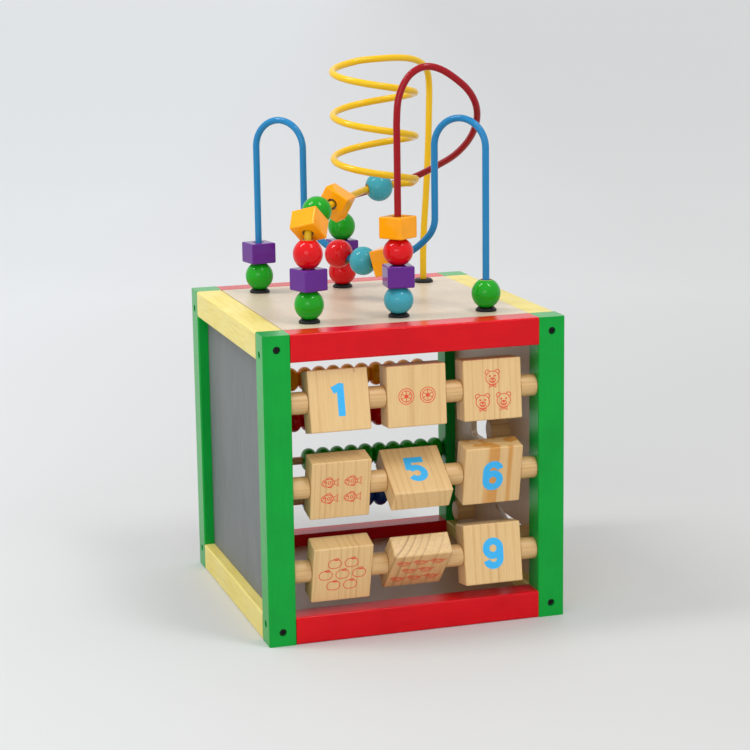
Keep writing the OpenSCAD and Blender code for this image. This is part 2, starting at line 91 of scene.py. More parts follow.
class Paint:
    """A node-based material, and short calls for the nodes that make it."""

    def __init__(self, name, **values):
        self.made = bpy.data.materials.new(name)
        self.made.use_nodes = True
        self.tree = self.made.node_tree
        self.shader = self.tree.nodes["Principled BSDF"]
        for key, value in values.items():
            self.shader.inputs[key.replace("_", " ")].default_value = value

    def node(self, kind, inputs, output=0, **settings):
        """Adds a node with its inputs set to values or other nodes' outputs, and returns an output."""
        made = self.tree.nodes.new("ShaderNode" + kind)
        for key, value in settings.items():
            setattr(made, key, value)
        for key, value in inputs.items():
            self.put(made.inputs[key], value)
        return made.outputs[output]

    def put(self, socket, value):
        """Links another node's output to a socket, or sets the socket to a value."""
        if isinstance(value, bpy.types.NodeSocket):
            self.tree.links.new(value, socket)
        else:
            socket.default_value = value

    def place(self, scale=(1, 1, 1), turn=(0, 0, 0), shift=(0, 0, 0)):
        """Coordinates that ride with the piece: moved by shift, turned, then stretched."""
        own = self.tree.nodes.new("ShaderNodeTexCoord").outputs["Object"]
        moved = self.node("VectorMath", {0: own, 1: shift}, operation="ADD")
        turned = self.node("VectorRotate", {"Vector": moved, "Rotation": turn}, rotation_type="EULER_XYZ")
        return self.node("VectorMath", {0: turned, 1: scale}, operation="MULTIPLY")

    def noise(self, where, scale, detail=3, roughness=0.55, distortion=0):
        inputs = {"Vector": where, "Scale": scale, "Detail": detail}
        return self.node("TexNoise", {**inputs, "Roughness": roughness, "Distortion": distortion})

    def ramp(self, value, *stops):
        """A colour ramp; each stop is a place from 0 to 1 and a grey level or a colour."""
        made = self.tree.nodes.new("ShaderNodeValToRGB")
        self.tree.links.new(value, made.inputs[0])
        line = made.color_ramp
        while len(line.elements) < len(stops):
            line.elements.new(0.5)
        for element, (spot, colour) in zip(line.elements, stops):
            element.position = spot
            element.color = (*colour, 1) if isinstance(colour, tuple) else (colour, colour, colour, 1)
        return made.outputs["Color"]

    def blend(self, share, first, second, mode="MIX"):
        """The first colour, mixed with the second by a share from 0 to 1."""
        made = self.tree.nodes.new("ShaderNodeMix")
        made.data_type = "RGBA"
        made.blend_type = mode
        for socket, value in ((0, share), (6, first), (7, second)):
            self.put(made.inputs[socket], (*value, 1) if isinstance(value, tuple) else value)
        return made.outputs[2]

    def math(self, operation, first, second=0.5):
        return self.node("Math", {0: first, 1: second}, operation=operation)

    def bump(self, height, strength, distance, under=None):
        inputs = {"Height": height, "Strength": strength, "Distance": distance}
        if under is not None:
            inputs["Normal"] = under
        return self.node("Bump", inputs)

    def finish(self, colour, roughness=None, normal=None):
        """Links the shader's main inputs and returns the material."""
        for key, value in (("Base Color", colour), ("Roughness", roughness), ("Normal", normal)):
            if value is not None:
                self.put(self.shader.inputs[key], value)
        return self.made


def along(axis, thin):
    """A stretch of coordinates that draws grain out along one axis."""
    return tuple(1.0 if i == axis else thin for i in range(3))


def drawn_out(axis, share):
    """A stretch of coordinates that lengthens a pattern along one axis only."""
    return tuple(share if i == axis else 1 for i in range(3))


def gloss_paint(name, colour, axis, roughness=0.34):
    """Sprayed paint on a wooden bar: faint grain, thin and dull patches, and a shine at low angles."""
    p = Paint(name, Coat_Weight=1.0, Coat_IOR=1.26, Coat_Roughness=0.15, Specular_IOR_Level=0.0)
    lines = p.noise(p.place(along(axis, 22)), 34, 5, 0.6)
    patches = p.noise(p.place(), 22, 3)
    peel = p.noise(p.place(), 420, 2)
    dark = tuple(c * 0.88 for c in colour)
    light = tuple(min(1, c * 1.06) for c in colour)
    shade = p.ramp(patches, (0.3, dark), (0.55, colour), (0.8, light))
    shade = p.blend(p.ramp(lines, (0.35, 0.0), (0.75, 0.4)), shade, tuple(c * 0.78 for c in colour))
    rough = p.ramp(patches, (0.3, roughness - 0.05), (0.7, roughness + 0.08))
    low = p.bump(lines, 0.06, 0.0012)
    normal = p.bump(peel, 0.06, 0.0004, low)
    p.put(p.shader.inputs["Coat Normal"], normal)
    return p.finish(shade, rough, normal)


def satin_cream(name, axis):
    """Pale yellow stain paint: the grain of the wood shows through."""
    p = Paint(name, Coat_Weight=0.1, Coat_Roughness=0.3, Specular_IOR_Level=0.15)
    lines = p.noise(p.place(along(axis, 16)), 26, 5, 0.6, 0.4)
    fine = p.noise(p.place(along(axis, 60)), 40, 3)
    patches = p.noise(p.place(), 18, 3)
    dark, mid, pale = (0.70, 0.54, 0.125), (0.775, 0.645, 0.165), (0.80, 0.69, 0.22)
    shade = p.ramp(lines, (0.3, dark), (0.48, mid), (0.7, pale))
    shade = p.blend(p.ramp(fine, (0.3, 0.25), (0.6, 0.0)), shade, (0.62, 0.42, 0.10))
    shade = p.blend(p.ramp(patches, (0.35, 0.2), (0.7, 0.0)), shade, (0.84, 0.74, 0.34))
    rough = p.ramp(patches, (0.3, 0.36), (0.7, 0.48))
    return p.finish(shade, rough, p.bump(fine, 0.08, 0.0006))


def wood(name, heart, turn, ring, tones, knots=0.0, streak=0.0):
    """Solid wood: rings round the heart of the log, drawn out along Z.

    Faces along the log show grain and its ends show rings. The log is moved by heart and turned by turn, and
    ring is a year's growth in metres. Knots and streak are the strength of dark knots and of brown bands.
    """
    p = Paint(name, Coat_Weight=0.12, Coat_Roughness=0.3)
    spot = p.place((1, 1, 0.10), turn, heart)
    wobble = p.noise(spot, 9, 3, 0.5)
    sideways = p.node("CombineXYZ", {0: wobble, 1: wobble, 2: 0.0})
    pull = p.node("VectorMath", {0: sideways, "Scale": 0.022}, operation="SCALE")
    bent = p.node("VectorMath", {0: spot, 1: pull}, operation="ADD")
    flat = p.node("VectorMath", {0: bent, 1: (1, 1, 0)}, operation="MULTIPLY")
    far = p.node("VectorMath", {0: flat}, 1, operation="LENGTH")
    turns = p.math("MULTIPLY", far, 1 / ring)
    saw = p.math("FRACT", turns)
    late = p.ramp(saw, (0.0, 0.0), (0.55, 0.12), (0.86, 1.0), (1.0, 0.05))
    year = p.noise(p.node("CombineXYZ", {0: p.math("FLOOR", turns), 1: 0.0, 2: 0.0}), 3.7, 0)
    fibre = p.noise(p.place((1, 1, 0.04), turn, heart), 900, 3, 0.6)
    tint = p.noise(p.place((1, 1, 0.3), turn, heart), 30, 3)
    pale, mid, dark = tones
    marked = p.math("MULTIPLY", late, p.ramp(year, (0.36, 0.06), (0.68, 0.85)))
    shade = p.blend(marked, p.blend(tint, pale, mid), dark)
    shade = p.blend(p.ramp(fibre, (0.35, 0.28), (0.6, 0.0)), shade, dark)
    if streak:
        band = p.noise(p.place((1, 1, 0.03), turn, heart), 62, 1)
        shade = p.blend(p.ramp(band, (0.50, 0.0), (0.54, streak)), shade, (0.60, 0.25, 0.035))
    if knots:
        cells = {"Vector": p.place((1, 1, 0.5), turn, heart), "Scale": 55.0, "Randomness": 1.0}
        near = p.node("TexVoronoi", cells)
        shade = p.blend(p.ramp(near, (0.04, knots), (0.09, 0.0)), shade, (0.25, 0.09, 0.03))
    rough = p.ramp(fibre, (0.3, 0.52), (0.7, 0.38))
    return p.finish(shade, rough, p.bump(fibre, 0.12, 0.0003, p.bump(late, 0.04, 0.0004)))


# Woods: pale early growth, its darker patches, and the late growth of each ring.
PINE = ((0.80, 0.56, 0.26), (0.73, 0.47, 0.20), (0.58, 0.32, 0.12))
DARK_RINGS = (*PINE[:2], (0.34, 0.17, 0.06))
BEECH = ((0.72, 0.48, 0.21), (0.64, 0.39, 0.16), (0.48, 0.26, 0.10))


def birch_ply(name, normal_axis, tone=(1, 1, 1), sawn=None):
    """Lacquered plywood with pale, wavy grain. If sawn gives the board's box, its cut edges are darkened
    brown, partly as the burn of a laser cut and partly as painted shade on the slot walls.
    """
    p = Paint(name, Coat_Weight=0.15, Coat_Roughness=0.25)
    grain_axis = Y if normal_axis == Z else Z
    where = p.place(drawn_out(grain_axis, 0.16))
    waves = p.noise(where, 16, 4, 0.5, 0.8)
    rings = p.math("FRACT", p.math("MULTIPLY", waves, 15))
    fibre = p.noise(p.place(drawn_out(grain_axis, 0.03)), 1100, 3)
    cloud = p.noise(p.place(), 14, 3)
    light = tuple(c * t for c, t in zip((0.70, 0.60, 0.47), tone))
    deep = tuple(c * t for c, t in zip((0.62, 0.51, 0.38), tone))
    late = p.ramp(rings, (0.0, 0.0), (0.7, 0.06), (0.93, 0.12), (1.0, 0.0))
    shade = p.blend(late, p.blend(cloud, light, deep), (0.50, 0.36, 0.24))
    shade = p.blend(p.ramp(fibre, (0.35, 0.22), (0.6, 0.0)), shade, (0.46, 0.32, 0.21))
    # Cut edges darkened brown: partly laser burn, partly painted shade standing in for the shadow inside the
    # slots.
    if sawn:
        low, high = (corner[normal_axis] for corner in sawn)
        across = p.node("SeparateXYZ", {0: p.place()}, normal_axis)
        depth = p.math("ABSOLUTE", p.math("SUBTRACT", across, (low + high) / 2))
        burnt_and_shaded_core = p.math("LESS_THAN", depth, (high - low) / 2 - 0.4 * MM)
        shade = p.blend(p.math("MULTIPLY", burnt_and_shaded_core, 0.85), shade, (0.19, 0.11, 0.05))
    rough = p.ramp(cloud, (0.3, 0.34), (0.7, 0.44))
    return p.finish(shade, rough, p.bump(fibre, 0.10, 0.0003))


def chalk_paint(name):
    """Blackboard paint with a haze of wiped chalk and fine streaks."""
    p = Paint(name)
    haze = p.noise(p.place((1, 1.0, 0.45)), 15, 4, 0.6)
    streaks = p.noise(p.place((1, 16, 1)), 22, 4, 0.65)
    grit = p.noise(p.place(), 1500, 2)
    shade = p.blend(p.ramp(haze, (0.3, 0.0), (0.75, 1.0)), (0.115, 0.125, 0.125), (0.175, 0.185, 0.185))
    shade = p.blend(p.ramp(streaks, (0.45, 0.0), (0.75, 0.4)), shade, (0.24, 0.25, 0.25))
    rough = p.ramp(haze, (0.3, 0.5), (0.7, 0.62))
    return p.finish(shade, rough, p.bump(grit, 0.25, 0.0002))


def bead_paint(name, colour):
    """Dipped gloss paint on a turned bead, with small sags and dull spots."""
    p = Paint(name, Coat_Weight=1.0, Coat_IOR=1.32, Coat_Roughness=0.07, Specular_IOR_Level=0.0)
    cloud = p.noise(p.place(), 60, 3)
    sags = p.noise(p.place((1, 1, 0.4)), 110, 2)
    specks = p.noise(p.place(), 700, 2)
    dark = tuple(c * 0.92 for c in colour)
    shade = p.ramp(cloud, (0.3, dark), (0.6, colour))
    shade = p.blend(p.ramp(specks, (0.7, 0.0), (0.8, 0.2)), shade, tuple(c * 0.75 for c in colour))
    rough = p.ramp(cloud, (0.3, 0.18), (0.7, 0.30))
    normal = p.bump(sags, 0.05, 0.0008)
    p.put(p.shader.inputs["Coat Normal"], normal)
    return p.finish(shade, rough, normal)


def wire_coat(name, colour):
    """Plastic-coated steel wire: smooth and glossy, dulled a little where the beads rub."""
    p = Paint(name, Coat_Weight=1.0, Coat_IOR=1.32, Coat_Roughness=0.1, Specular_IOR_Level=0.0)
    scuffs = p.noise(p.place((1, 1, 0.35)), 260, 4, 0.7)
    cloud = p.noise(p.place(), 40, 2)
    shade = p.blend(cloud, tuple(c * 0.95 for c in colour), colour)
    return p.finish(shade, p.ramp(scuffs, (0.45, 0.24), (0.75, 0.38)), p.bump(scuffs, 0.03, 0.0002))


def black_plastic(name, roughness=0.38):
    """Moulded or plated black, with a fine pitted surface."""
    p = Paint(name, Specular_IOR_Level=0.25)
    cloud = p.noise(p.place(), 200, 3)
    shade = p.blend(cloud, (0.004, 0.004, 0.005), (0.012, 0.012, 0.013))
    rough = p.ramp(cloud, (0.3, roughness), (0.7, roughness + 0.15))
    return p.finish(shade, rough, p.bump(cloud, 0.15, 0.0002))


def ink(name, colour):
    """Screen-printed ink, a little thin where the grain is rough."""
    p = Paint(name)
    thin = p.noise(p.place((1, 1, 0.1)), 700, 3)
    shade = p.blend(p.ramp(thin, (0.24, 0.3), (0.38, 0.0)), colour, (0.70, 0.46, 0.22))
    return p.finish(shade, p.ramp(thin, (0.3, 0.55), (0.7, 0.42)), p.bump(thin, 0.05, 0.0001))


GREEN = (0.003, 0.345, 0.040)
RED = (0.66, 0.004, 0.010)
COLOURS = {
    "bead_green": (0.010, 0.33, 0.010),
    "bead_red": (0.66, 0.004, 0.007),
    "bead_light_blue": (0.05, 0.36, 0.45),
    "bead_purple": (0.115, 0.018, 0.24),
    "bead_orange": (0.95, 0.36, 0.005),
    "bead_dark_blue": (0.012, 0.05, 0.26),
    "bead_yellow": (0.86, 0.52, 0.02),
    "blue_coat": (0.016, 0.20, 0.44),
    "red_coat": (0.30, 0.003, 0.008),
    "yellow_coat": (0.78, 0.47, 0.010),
}
LOOKS = {s: (wire_coat if s.endswith("coat") else bead_paint)(s, c) for s, c in COLOURS.items()}
LOOKS["foot_rubber"] = black_plastic("foot_rubber")
LOOKS["screw_black"] = black_plastic("screw_black", 0.3)
LOOKS["print_blue"] = ink("print_blue", (0.03, 0.44, 0.86))
LOOKS["print_orange"] = ink("print_orange", (0.72, 0.06, 0.02))
LOOKS["bare_wood"] = wood("bare_wood", (0.03, 0.02, 0), (0, 0, 0), 0.004, BEECH)


def dress(obj, *looks):
    """Gives an object these materials, in place of any that it has."""
    if obj.data.materials:
        obj.data.materials.clear()
    for look in looks:
        obj.data.materials.append(look)


# ---- making meshes ----


def piece(name, mesh, look, body, stands_for=(), sharp=35):
    """An object from a mesh that is already in place, smooth except at sharp edges."""
    if isinstance(mesh, bmesh.types.BMesh):
        bmesh.ops.recalc_face_normals(mesh, faces=mesh.faces)
        made = bpy.data.meshes.new(name)
        mesh.to_mesh(made)
        mesh.free()
        mesh = made
    mesh.shade_smooth()
    mesh.set_sharp_from_angle(angle=math.radians(sharp))
    obj = bpy.data.objects.new(name, mesh)
    bpy.context.scene.collection.objects.link(obj)
    dress(obj, *([look] if isinstance(look, bpy.types.Material) else look))
    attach(obj, body)
    if stands_for:
        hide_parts(*stands_for)
    return obj


def lathe(mesh, outline, place, steps=48, close=True):
    """Turns an outline of (radius, height) points, in millimetres, round the Z axis of the matrix place.

    With close, the outline's last point joins its first. Returns the faces, band by band.
    """
    rings = []
    for r, z in outline:
        spots = [(r * math.cos(TAU * i / steps), r * math.sin(TAU * i / steps), z) for i in range(steps)]
        rings.append([mesh.verts.new(place @ (Vector(s) * MM)) for s in spots])
    if close:
        rings.append(rings[0])
    made = []
    for low, high in zip(rings, rings[1:]):
        for i in range(steps):
            j = (i + 1) % steps
            made.append(mesh.faces.new((low[i], low[j], high[j], high[i])))
    return made


def bow(x, y, r, start, end, steps):
    """Points on an arc, angles in degrees."""
    angles = [math.radians(start + (end - start) * i / steps) for i in range(steps + 1)]
    return [(x + r * math.cos(a), y + r * math.sin(a)) for a in angles]


def extents(node, way):
    """How long a node is along a direction, in metres."""
    spans = [v.co.dot(way) for v in NODES[node].data.vertices]
    return max(spans) - min(spans)


def flat_ways(node):
    """The three directions square to a node's largest flat sides, the one it is thinnest along last."""
    areas = {}
    for face in NODES[node].data.polygons:
        key = tuple(round(abs(c) if abs(c) < 0.005 else c, 2) for c in face.normal)  # never a negative nought
        areas.setdefault(key, [0, Vector()])
        areas[key][0] += face.area
        areas[key][1] += face.normal * face.area
    ways = []
    for area, total in sorted(areas.values(), key=lambda a: -a[0]):
        way = total.normalized()
        if all(abs(way.dot(w)) < 0.1 for w in ways) and len(ways) < 3:
            ways.append(way)
    return sorted(ways, key=lambda w: -extents(node, w))


def bead_place(node, square):
    """A matrix in the middle of a bead, with its Z along the hole."""
    if square:
        side, _, hole = flat_ways(node)
    else:
        middle = centre(node)
        spread = np.cov(np.array([v.co - middle for v in NODES[node].data.vertices]).T)
        ways = [Vector(v) for v in np.linalg.eigh(spread)[1].T]
        hole = min(ways, key=lambda v: extents(node, v))
        side = hole.orthogonal().normalized()
    if hole.z < 0:
        hole = -hole
    turned = Matrix((side, hole.cross(side), hole)).transposed().to_4x4()
    return Matrix.Translation(centre(node)) @ turned


# ---- stage ----


def area_light(name, spot, target, size, power, colour=(1, 1, 1)):
    """A soft box at spot, facing target."""
    light = bpy.data.lights.new(name, "AREA")
    light.shape = "RECTANGLE"
    light.size, light.size_y = size
    light.energy = power
    light.color = colour
    obj = bpy.data.objects.new(name, light)
    bpy.context.scene.collection.objects.link(obj)
    obj.location = spot
    obj.rotation_euler = (Vector(target) - Vector(spot)).to_track_quat("-Z", "Y").to_euler()


def paper_painted_shade():
    """White paper with painted light and shade: a little greyer round the object, where the lamps are
    brightest, darker towards the right as painted shadow, and a touch lighter and bluer on the left as
    painted light.
    """
    p = Paint("paper_painted_shade", Roughness=0.7, Specular_IOR_Level=0.2)
    far = p.math("MULTIPLY", p.node("VectorMath", {0: p.place()}, 1, operation="LENGTH"), 0.25)
    side = p.node("VectorMath", {0: p.place(), 1: (0.955, -0.296, 0)}, 1, operation="DOT_PRODUCT")
    across = p.math("ADD", p.math("MULTIPLY", side, 0.4), 0.5)
    # Painted light and shade across the floor: lighter and bluer to the left, darker to the right.
    left, mid, right = (0.93, 0.945, 0.955), (0.88, 0.88, 0.88), (0.82, 0.817, 0.81)
    tone = p.ramp(across, (0.26, left), (0.5, mid), (0.74, right))
    # Painted shade: the floor is darker near the object, where the lamps light it most.
    near = p.ramp(far, (0.12, 0.68), (0.225, 0.76), (0.45, 0.94), (0.78, 1.0))
    return p.finish(p.blend(1.0, tone, near, "MULTIPLY"))


def studio():
    """A white floor under an even sky, with a soft box on each side and a large weak one in front."""
    world = bpy.data.worlds.new("studio")
    world.use_nodes = True
    background = world.node_tree.nodes["Background"]
    background.inputs["Color"].default_value = (0.97, 0.985, 1.0, 1)
    background.inputs["Strength"].default_value = 0.83
    bpy.context.scene.world = world
    bpy.context.scene.view_settings.view_transform = "Standard"

    mesh = bmesh.new()
    reach = 30
    corners = ((-reach, -reach), (reach, -reach), (reach, reach), (-reach, reach))
    mesh.faces.new([mesh.verts.new((x, y, 0)) for x, y in corners])
    made = bpy.data.meshes.new("floor")
    mesh.to_mesh(made)
    mesh.free()
    floor = bpy.data.objects.new("floor", made)
    bpy.context.scene.collection.objects.link(floor)
    dress(floor, paper_painted_shade())

    middle = Vector((0, 0, 0.25))
    warm = (1.0, 0.99, 0.97)
    left_spot = middle + Vector((-0.54, 0.084, 0.84)) * 1.7
    right_spot = middle + Vector((0.223, -0.394, 0.84)) * 1.8
    front_spot = middle + Vector((-1.5, -2.6, 0.9))
    area_light("left_box", left_spot, middle, (0.34, 0.70), 11.5, warm)
    area_light("right_box", right_spot, middle, (0.32, 0.64), 8, warm)
    area_light("front_fill", front_spot, middle, (1.6, 1.2), 15)


def camera():
    """The photographer's place: 1.9 m away in front, a little to the left, looking down slightly."""
    data = bpy.data.cameras.new("camera")
    data.sensor_width = 36
    data.lens = 100.2
    obj = bpy.data.objects.new("camera", data)
    bpy.context.scene.collection.objects.link(obj)
    yaw, pitch, roll = 0.301, 0.204, -0.014
    obj.matrix_world = (
        Matrix.Translation(at(-429.5, -1708.5, 609.2))
        @ Matrix.Rotation(-yaw, 4, "Z")
        @ Matrix.Rotation(math.pi / 2 - pitch, 4, "X")
        @ Matrix.Rotation(roll, 4, "Z")
    )
    bpy.context.scene.camera = obj


studio()
camera()


# ---- the frame: posts, rails, panels, screws and rods ----


def weigh_normals(obj):
    """Keeps an object's flat faces flat where they meet rounded edges."""
    level = obj.modifiers.new("level", "WEIGHTED_NORMAL")
    level.keep_sharp = True


def ease_edges(obj, width, segments=3):
    """Rounds a CAD node's sharp edges a little, and keeps its flat faces flat."""
    weld = obj.modifiers.new("weld", "WELD")
    weld.merge_threshold = 1e-6
    edge = obj.modifiers.new("edge", "BEVEL")
    edge.width = width * MM
    edge.segments = segments
    edge.limit_method = "ANGLE"
    edge.angle_limit = math.radians(40)
    weigh_normals(obj)


PAINTS = {
    "post": gloss_paint("green_paint", GREEN, Z),
    "rail_front": gloss_paint("red_paint", RED, X, 0.30),
    "rail_rear": gloss_paint("red_paint_rear", RED, X, 0.30),
    "rail_left": satin_cream("cream_paint_left", Y),
    "rail_right": satin_cream("cream_paint_right", Y),
}
for start, look in PAINTS.items():
    for name in [n for n in NODES if n.startswith(start)]:
        dress(NODES[name], look)
        ease_edges(NODES[name], 0.7)

dress(NODES["top_panel"], birch_ply("ply_level", Z))
dress(NODES["bottom_panel"], birch_ply("ply_bottom", Z, (0.80, 0.52, 0.38)))
dress(NODES["track_panel"], birch_ply("ply_upright", X, (0.98, 0.84, 0.68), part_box("track_panel")))
dress(NODES["chalkboard"], chalk_paint("chalk_surface"))
dress(NODES["frame_screws"], LOOKS["screw_black"])
ease_edges(NODES["track_panel"], 0.4, 2)

LOG_TO_X = (0, math.pi / 2, 0)  # turns a log, whose grain runs along Z, to lie along X
dress(NODES["rods"], wood("beech_level", (0.02, 0.03, 0.0), LOG_TO_X, 0.0035, BEECH))


# ---- number blocks ----

BLOCK_W, BLOCK_T = 55, 22
BLOCK_BORE = 5.08
ALONG_X = Matrix.Rotation(math.pi / 2, 4, "Y")  # turns a shape made along Z to lie along X


def rounded_box(size, radius, segments=4):
    """A box about the origin with rounded edges, in metres from sizes in millimetres."""
    mesh = bmesh.new()
    bmesh.ops.create_cube(mesh, size=1.0)
    bmesh.ops.scale(mesh, vec=Vector(size) * MM, verts=mesh.verts)
    shape = {"segments": segments, "profile": 0.5, "affect": "EDGES"}
    bmesh.ops.bevel(mesh, geom=mesh.edges[:], offset=radius * MM, **shape)
    return mesh


def drilled(mesh, place, radius, length, flare):
    """Cuts a hole along the Z axis of the matrix place, with its two mouths eased."""
    half = length / 2
    past = 1  # how far the cutter stands out of each face
    mouth = (radius + flare + past, half + past)
    outline = [mouth, (radius, half - flare), (radius, flare - half), (mouth[0], -mouth[1])]
    cutter = bmesh.new()
    lathe(cutter, outline, place, 48, close=False)
    rim = [e for e in cutter.edges if e.is_boundary]
    bmesh.ops.holes_fill(cutter, edges=rim)
    bmesh.ops.recalc_face_normals(cutter, faces=cutter.faces)
    objects = []
    for part in (mesh, cutter):
        made = bpy.data.meshes.new("scratch")
        part.to_mesh(made)
        part.free()
        objects.append(bpy.data.objects.new("scratch", made))
        bpy.context.scene.collection.objects.link(objects[-1])
    solid, tool = objects
    cut = solid.modifiers.new("cut", "BOOLEAN")
    cut.operation = "DIFFERENCE"
    cut.solver = "EXACT"
    cut.object = tool
    result = bmesh.new()
    result.from_object(solid, bpy.context.evaluated_depsgraph_get())
    for obj in objects:
        bpy.data.objects.remove(obj)
    return result


# ---- drawing on the blocks ----


def ribbon(mesh, place, points, width, height, closed=False):
    """A flat band of ink along points on the XY plane of the matrix place, in millimetres."""
    count = len(points)
    spots = [Vector(p) for p in points]
    sides = []
    for i, spot in enumerate(spots):
        before = spots[i - 1] if closed or i else spot
        after = spots[(i + 1) % count] if closed or i < count - 1 else spot
        into = (spot - before).normalized() if before != spot else (after - spot).normalized()
        out = (after - spot).normalized() if after != spot else into
        way = (into + out).normalized() if (into + out).length > 1e-6 else out
        mitre = min(1 / max(way.dot(out), 0.5), 1.6) * width / 2  # sharp corners are not drawn out to a spike
        across = Vector((-way.y, way.x)) * mitre
        sides.append((spot + across, spot - across))
    depth = 0.05  # how far the ink sinks into the wood
    bands = []
    for left, right in sides:
        section = ((left, height), (right, height), (right, -depth), (left, -depth))
        bands.append([mesh.verts.new(place @ (Vector((*s, z)) * MM)) for s, z in section])
    for a, b in zip(bands, bands[1:] + bands[:1] if closed else bands[1:]):
        for k in range(4):
            mesh.faces.new((a[k], a[(k + 1) % 4], b[(k + 1) % 4], b[k]))
    if not closed:
        mesh.faces.new(bands[0])
        mesh.faces.new(bands[-1][::-1])


def ring(x, y, r, steps=20, squash=1.0):
    """A closed stroke round a circle or, squashed, an oval."""
    return [(x + (px - x), y + (py - y) * squash) for px, py in bow(x, y, r, 0, 360, steps)[:-1]], True


def stroke(*points):
    """An open stroke through the points."""
    return list(points), False


def arc(x, y, r, start, end, steps=10):
    """An open stroke along an arc, angles in degrees."""
    return bow(x, y, r, start, end, steps), False


def joined(*strokes):
    """One open stroke from several, end to end."""
    return [p for points, _ in strokes for p in points], False


DIGITS = {
    1: [stroke((1.5, -14.3), (1.5, 14.3)), stroke((-6.0, 8.6), (3.0, 12.2))],
    2: [joined(arc(0, 4.4, 6.8, 175, -38, 18), stroke((-5.6, -11.1), (10, -11.1)))],
    3: [arc(-0.4, 5.7, 5.6, 155, -75, 16), arc(-0.4, -4.9, 6.3, 80, -155, 18)],
    4: [stroke((2.6, 14.3), (-6.6, -4.6), (10, -4.6)), stroke((4.6, 5), (4.6, -14.3))],
    5: [stroke((8.8, 11.1), (-5.6, 11.1), (-6.3, -0.6)), arc(-0.2, -4.5, 6.6, 146, -150, 22)],
    6: [joined(arc(0, 4.6, 6.6, 15, 180, 14), stroke((-6.6, -4.5))), ring(0, -4.6, 6.6, 28)],
    7: [stroke((-9.6, 11.1), (6.4, 11.1), (-2.6, -14.3))],
    8: [ring(0, 5.7, 5.5, 26), ring(0, -5.0, 6.3, 28)],
    9: [joined(arc(0, -4.6, 6.6, 195, 360, 14), stroke((6.6, 4.5))), ring(0, 4.6, 6.6, 28)],
}


def sun():
    angles = [TAU * k / 10 for k in range(10)]
    rays = [stroke(*[(r * math.cos(a), r * math.sin(a)) for r in (5.6, 8.2)]) for a in angles]
    eyes = [ring(x, 1.2, 0.4, 8) for x in (-1.5, 1.5)]
    return [ring(0, 0, 4.4, 24), arc(0, -0.4, 2.2, 200, 340), *eyes, *rays]


def drum():
    cross = [stroke((0, -5.0), (0, 5.0)), stroke((-4.4, -2.4), (4.4, 2.4)), stroke((-4.4, 2.4), (4.4, -2.4))]
    return [ring(0, 0, 7.0, 30), ring(0, 0, 5.0, 24), ring(0, 0, 1.4, 12), *cross]


def bear():
    ears = [arc(x, 5.0, 2.2, a, a + 210, 12) for x, a in ((-4.6, 30), (4.6, -60))]
    eyes = [ring(x, 1.6, 0.6, 8) for x in (-2.3, 2.3)]
    mouth = [arc(x, -2.7, 0.9, 180, 360, 6) for x in (-0.9, 0.9)]
    snout = [ring(0, -2.2, 2.7, 18, 0.8), ring(0, -1.3, 0.8, 8, 0.7), *mouth]
    tie = [([(0, -7.2), (-3.0, -5.8), (-3.0, -8.6), (3.0, -5.8), (3.0, -8.6)], True)]
    return [ring(0, 0, 6.4, 28, 0.94), *ears, *eyes, *snout, *tie]


def fish():
    tail = [stroke((3.8, 0.8), (8.0, 3.6), (7.2, 0), (8.0, -3.6), (3.8, -0.8))]
    fins = [arc(-0.5, 2.2, 3.0, 25, 150, 8), arc(0.2, -2.2, 2.4, -150, -30, 8)]
    scales = [arc(x, 0, 2.2, 115, 245, 6) for x in (0.6, 2.4, 4.2)]
    head = [ring(-5.0, 1.0, 0.6, 8), arc(-6.4, 0, 3.2, -48, 48, 7), arc(-7.0, -0.8, 1.0, -80, 20, 4)]
    return [ring(-1.6, 0, 5.8, 24, 0.66), *head, *tail, *fins, *scales]


def flower():
    angles = [TAU * k / 5 + 0.3 for k in range(5)]
    petals = [ring(3.2 * math.cos(a), 3.2 * math.sin(a), 2.1, 12) for a in angles]
    return [ring(0, 0, 1.6, 12), *petals, stroke((0, -5.0), (0.4, -8.6)), arc(2.4, -7.2, 2.2, 120, 230, 6)]


def leaf():
    edge = bow(-3.1, 0, 6.4, -52, 52, 10) + bow(3.1, 0, 6.4, 128, 232, 10)
    veins = [stroke((0, -2.6 + 2 * k), (side * 2.1, -1.2 + 2 * k)) for k in range(3) for side in (-1, 1)]
    return [(edge, True), stroke((0, -7.4), (0, 4.0)), *veins]


def apple():
    body = bow(-1.7, 0, 4.4, 70, 262, 12) + bow(1.7, 0, 4.4, -82, 110, 12)
    stalk = arc(-2.2, 3.2, 2.4, 5, 60, 5)
    leaf_edges = [arc(1.8, 4.9, 1.5, 190, 360, 6), arc(1.8, 3.9, 1.8, 30, 150, 6)]
    return [(body, True), stalk, *leaf_edges]


def bird():
    wing = [arc(0.7, 1.0, 2.9, 200, 350, 8), stroke((-1.9, 0.1), (1.0, 2.6), (3.6, 0.6))]
    head = [ring(-4.3, 3.0, 2.1, 14), ring(-4.6, 3.4, 0.4, 6), stroke((-6.2, 3.6), (-7.9, 2.8), (-6.2, 2.2))]
    return [ring(0, 0, 4.7, 20, 0.78), *head, stroke((4.1, 1.7), (7.7, 3.3), (4.4, -1.0)), *wing]


def star():
    corners = [(4.4 if k % 2 == 0 else 1.9, math.pi * k / 5) for k in range(10)]
    return [([(r * math.sin(a), r * math.cos(a)) for r, a in corners], True), ring(0, 0, 0.8, 8)]


def rows(pitch, step, *counts):
    """Places for pictures in centred rows from the top down."""
    top = step * (len(counts) - 1) / 2
    return [((k - (n - 1) / 2) * pitch, top - i * step) for i, n in enumerate(counts) for k in range(n)]


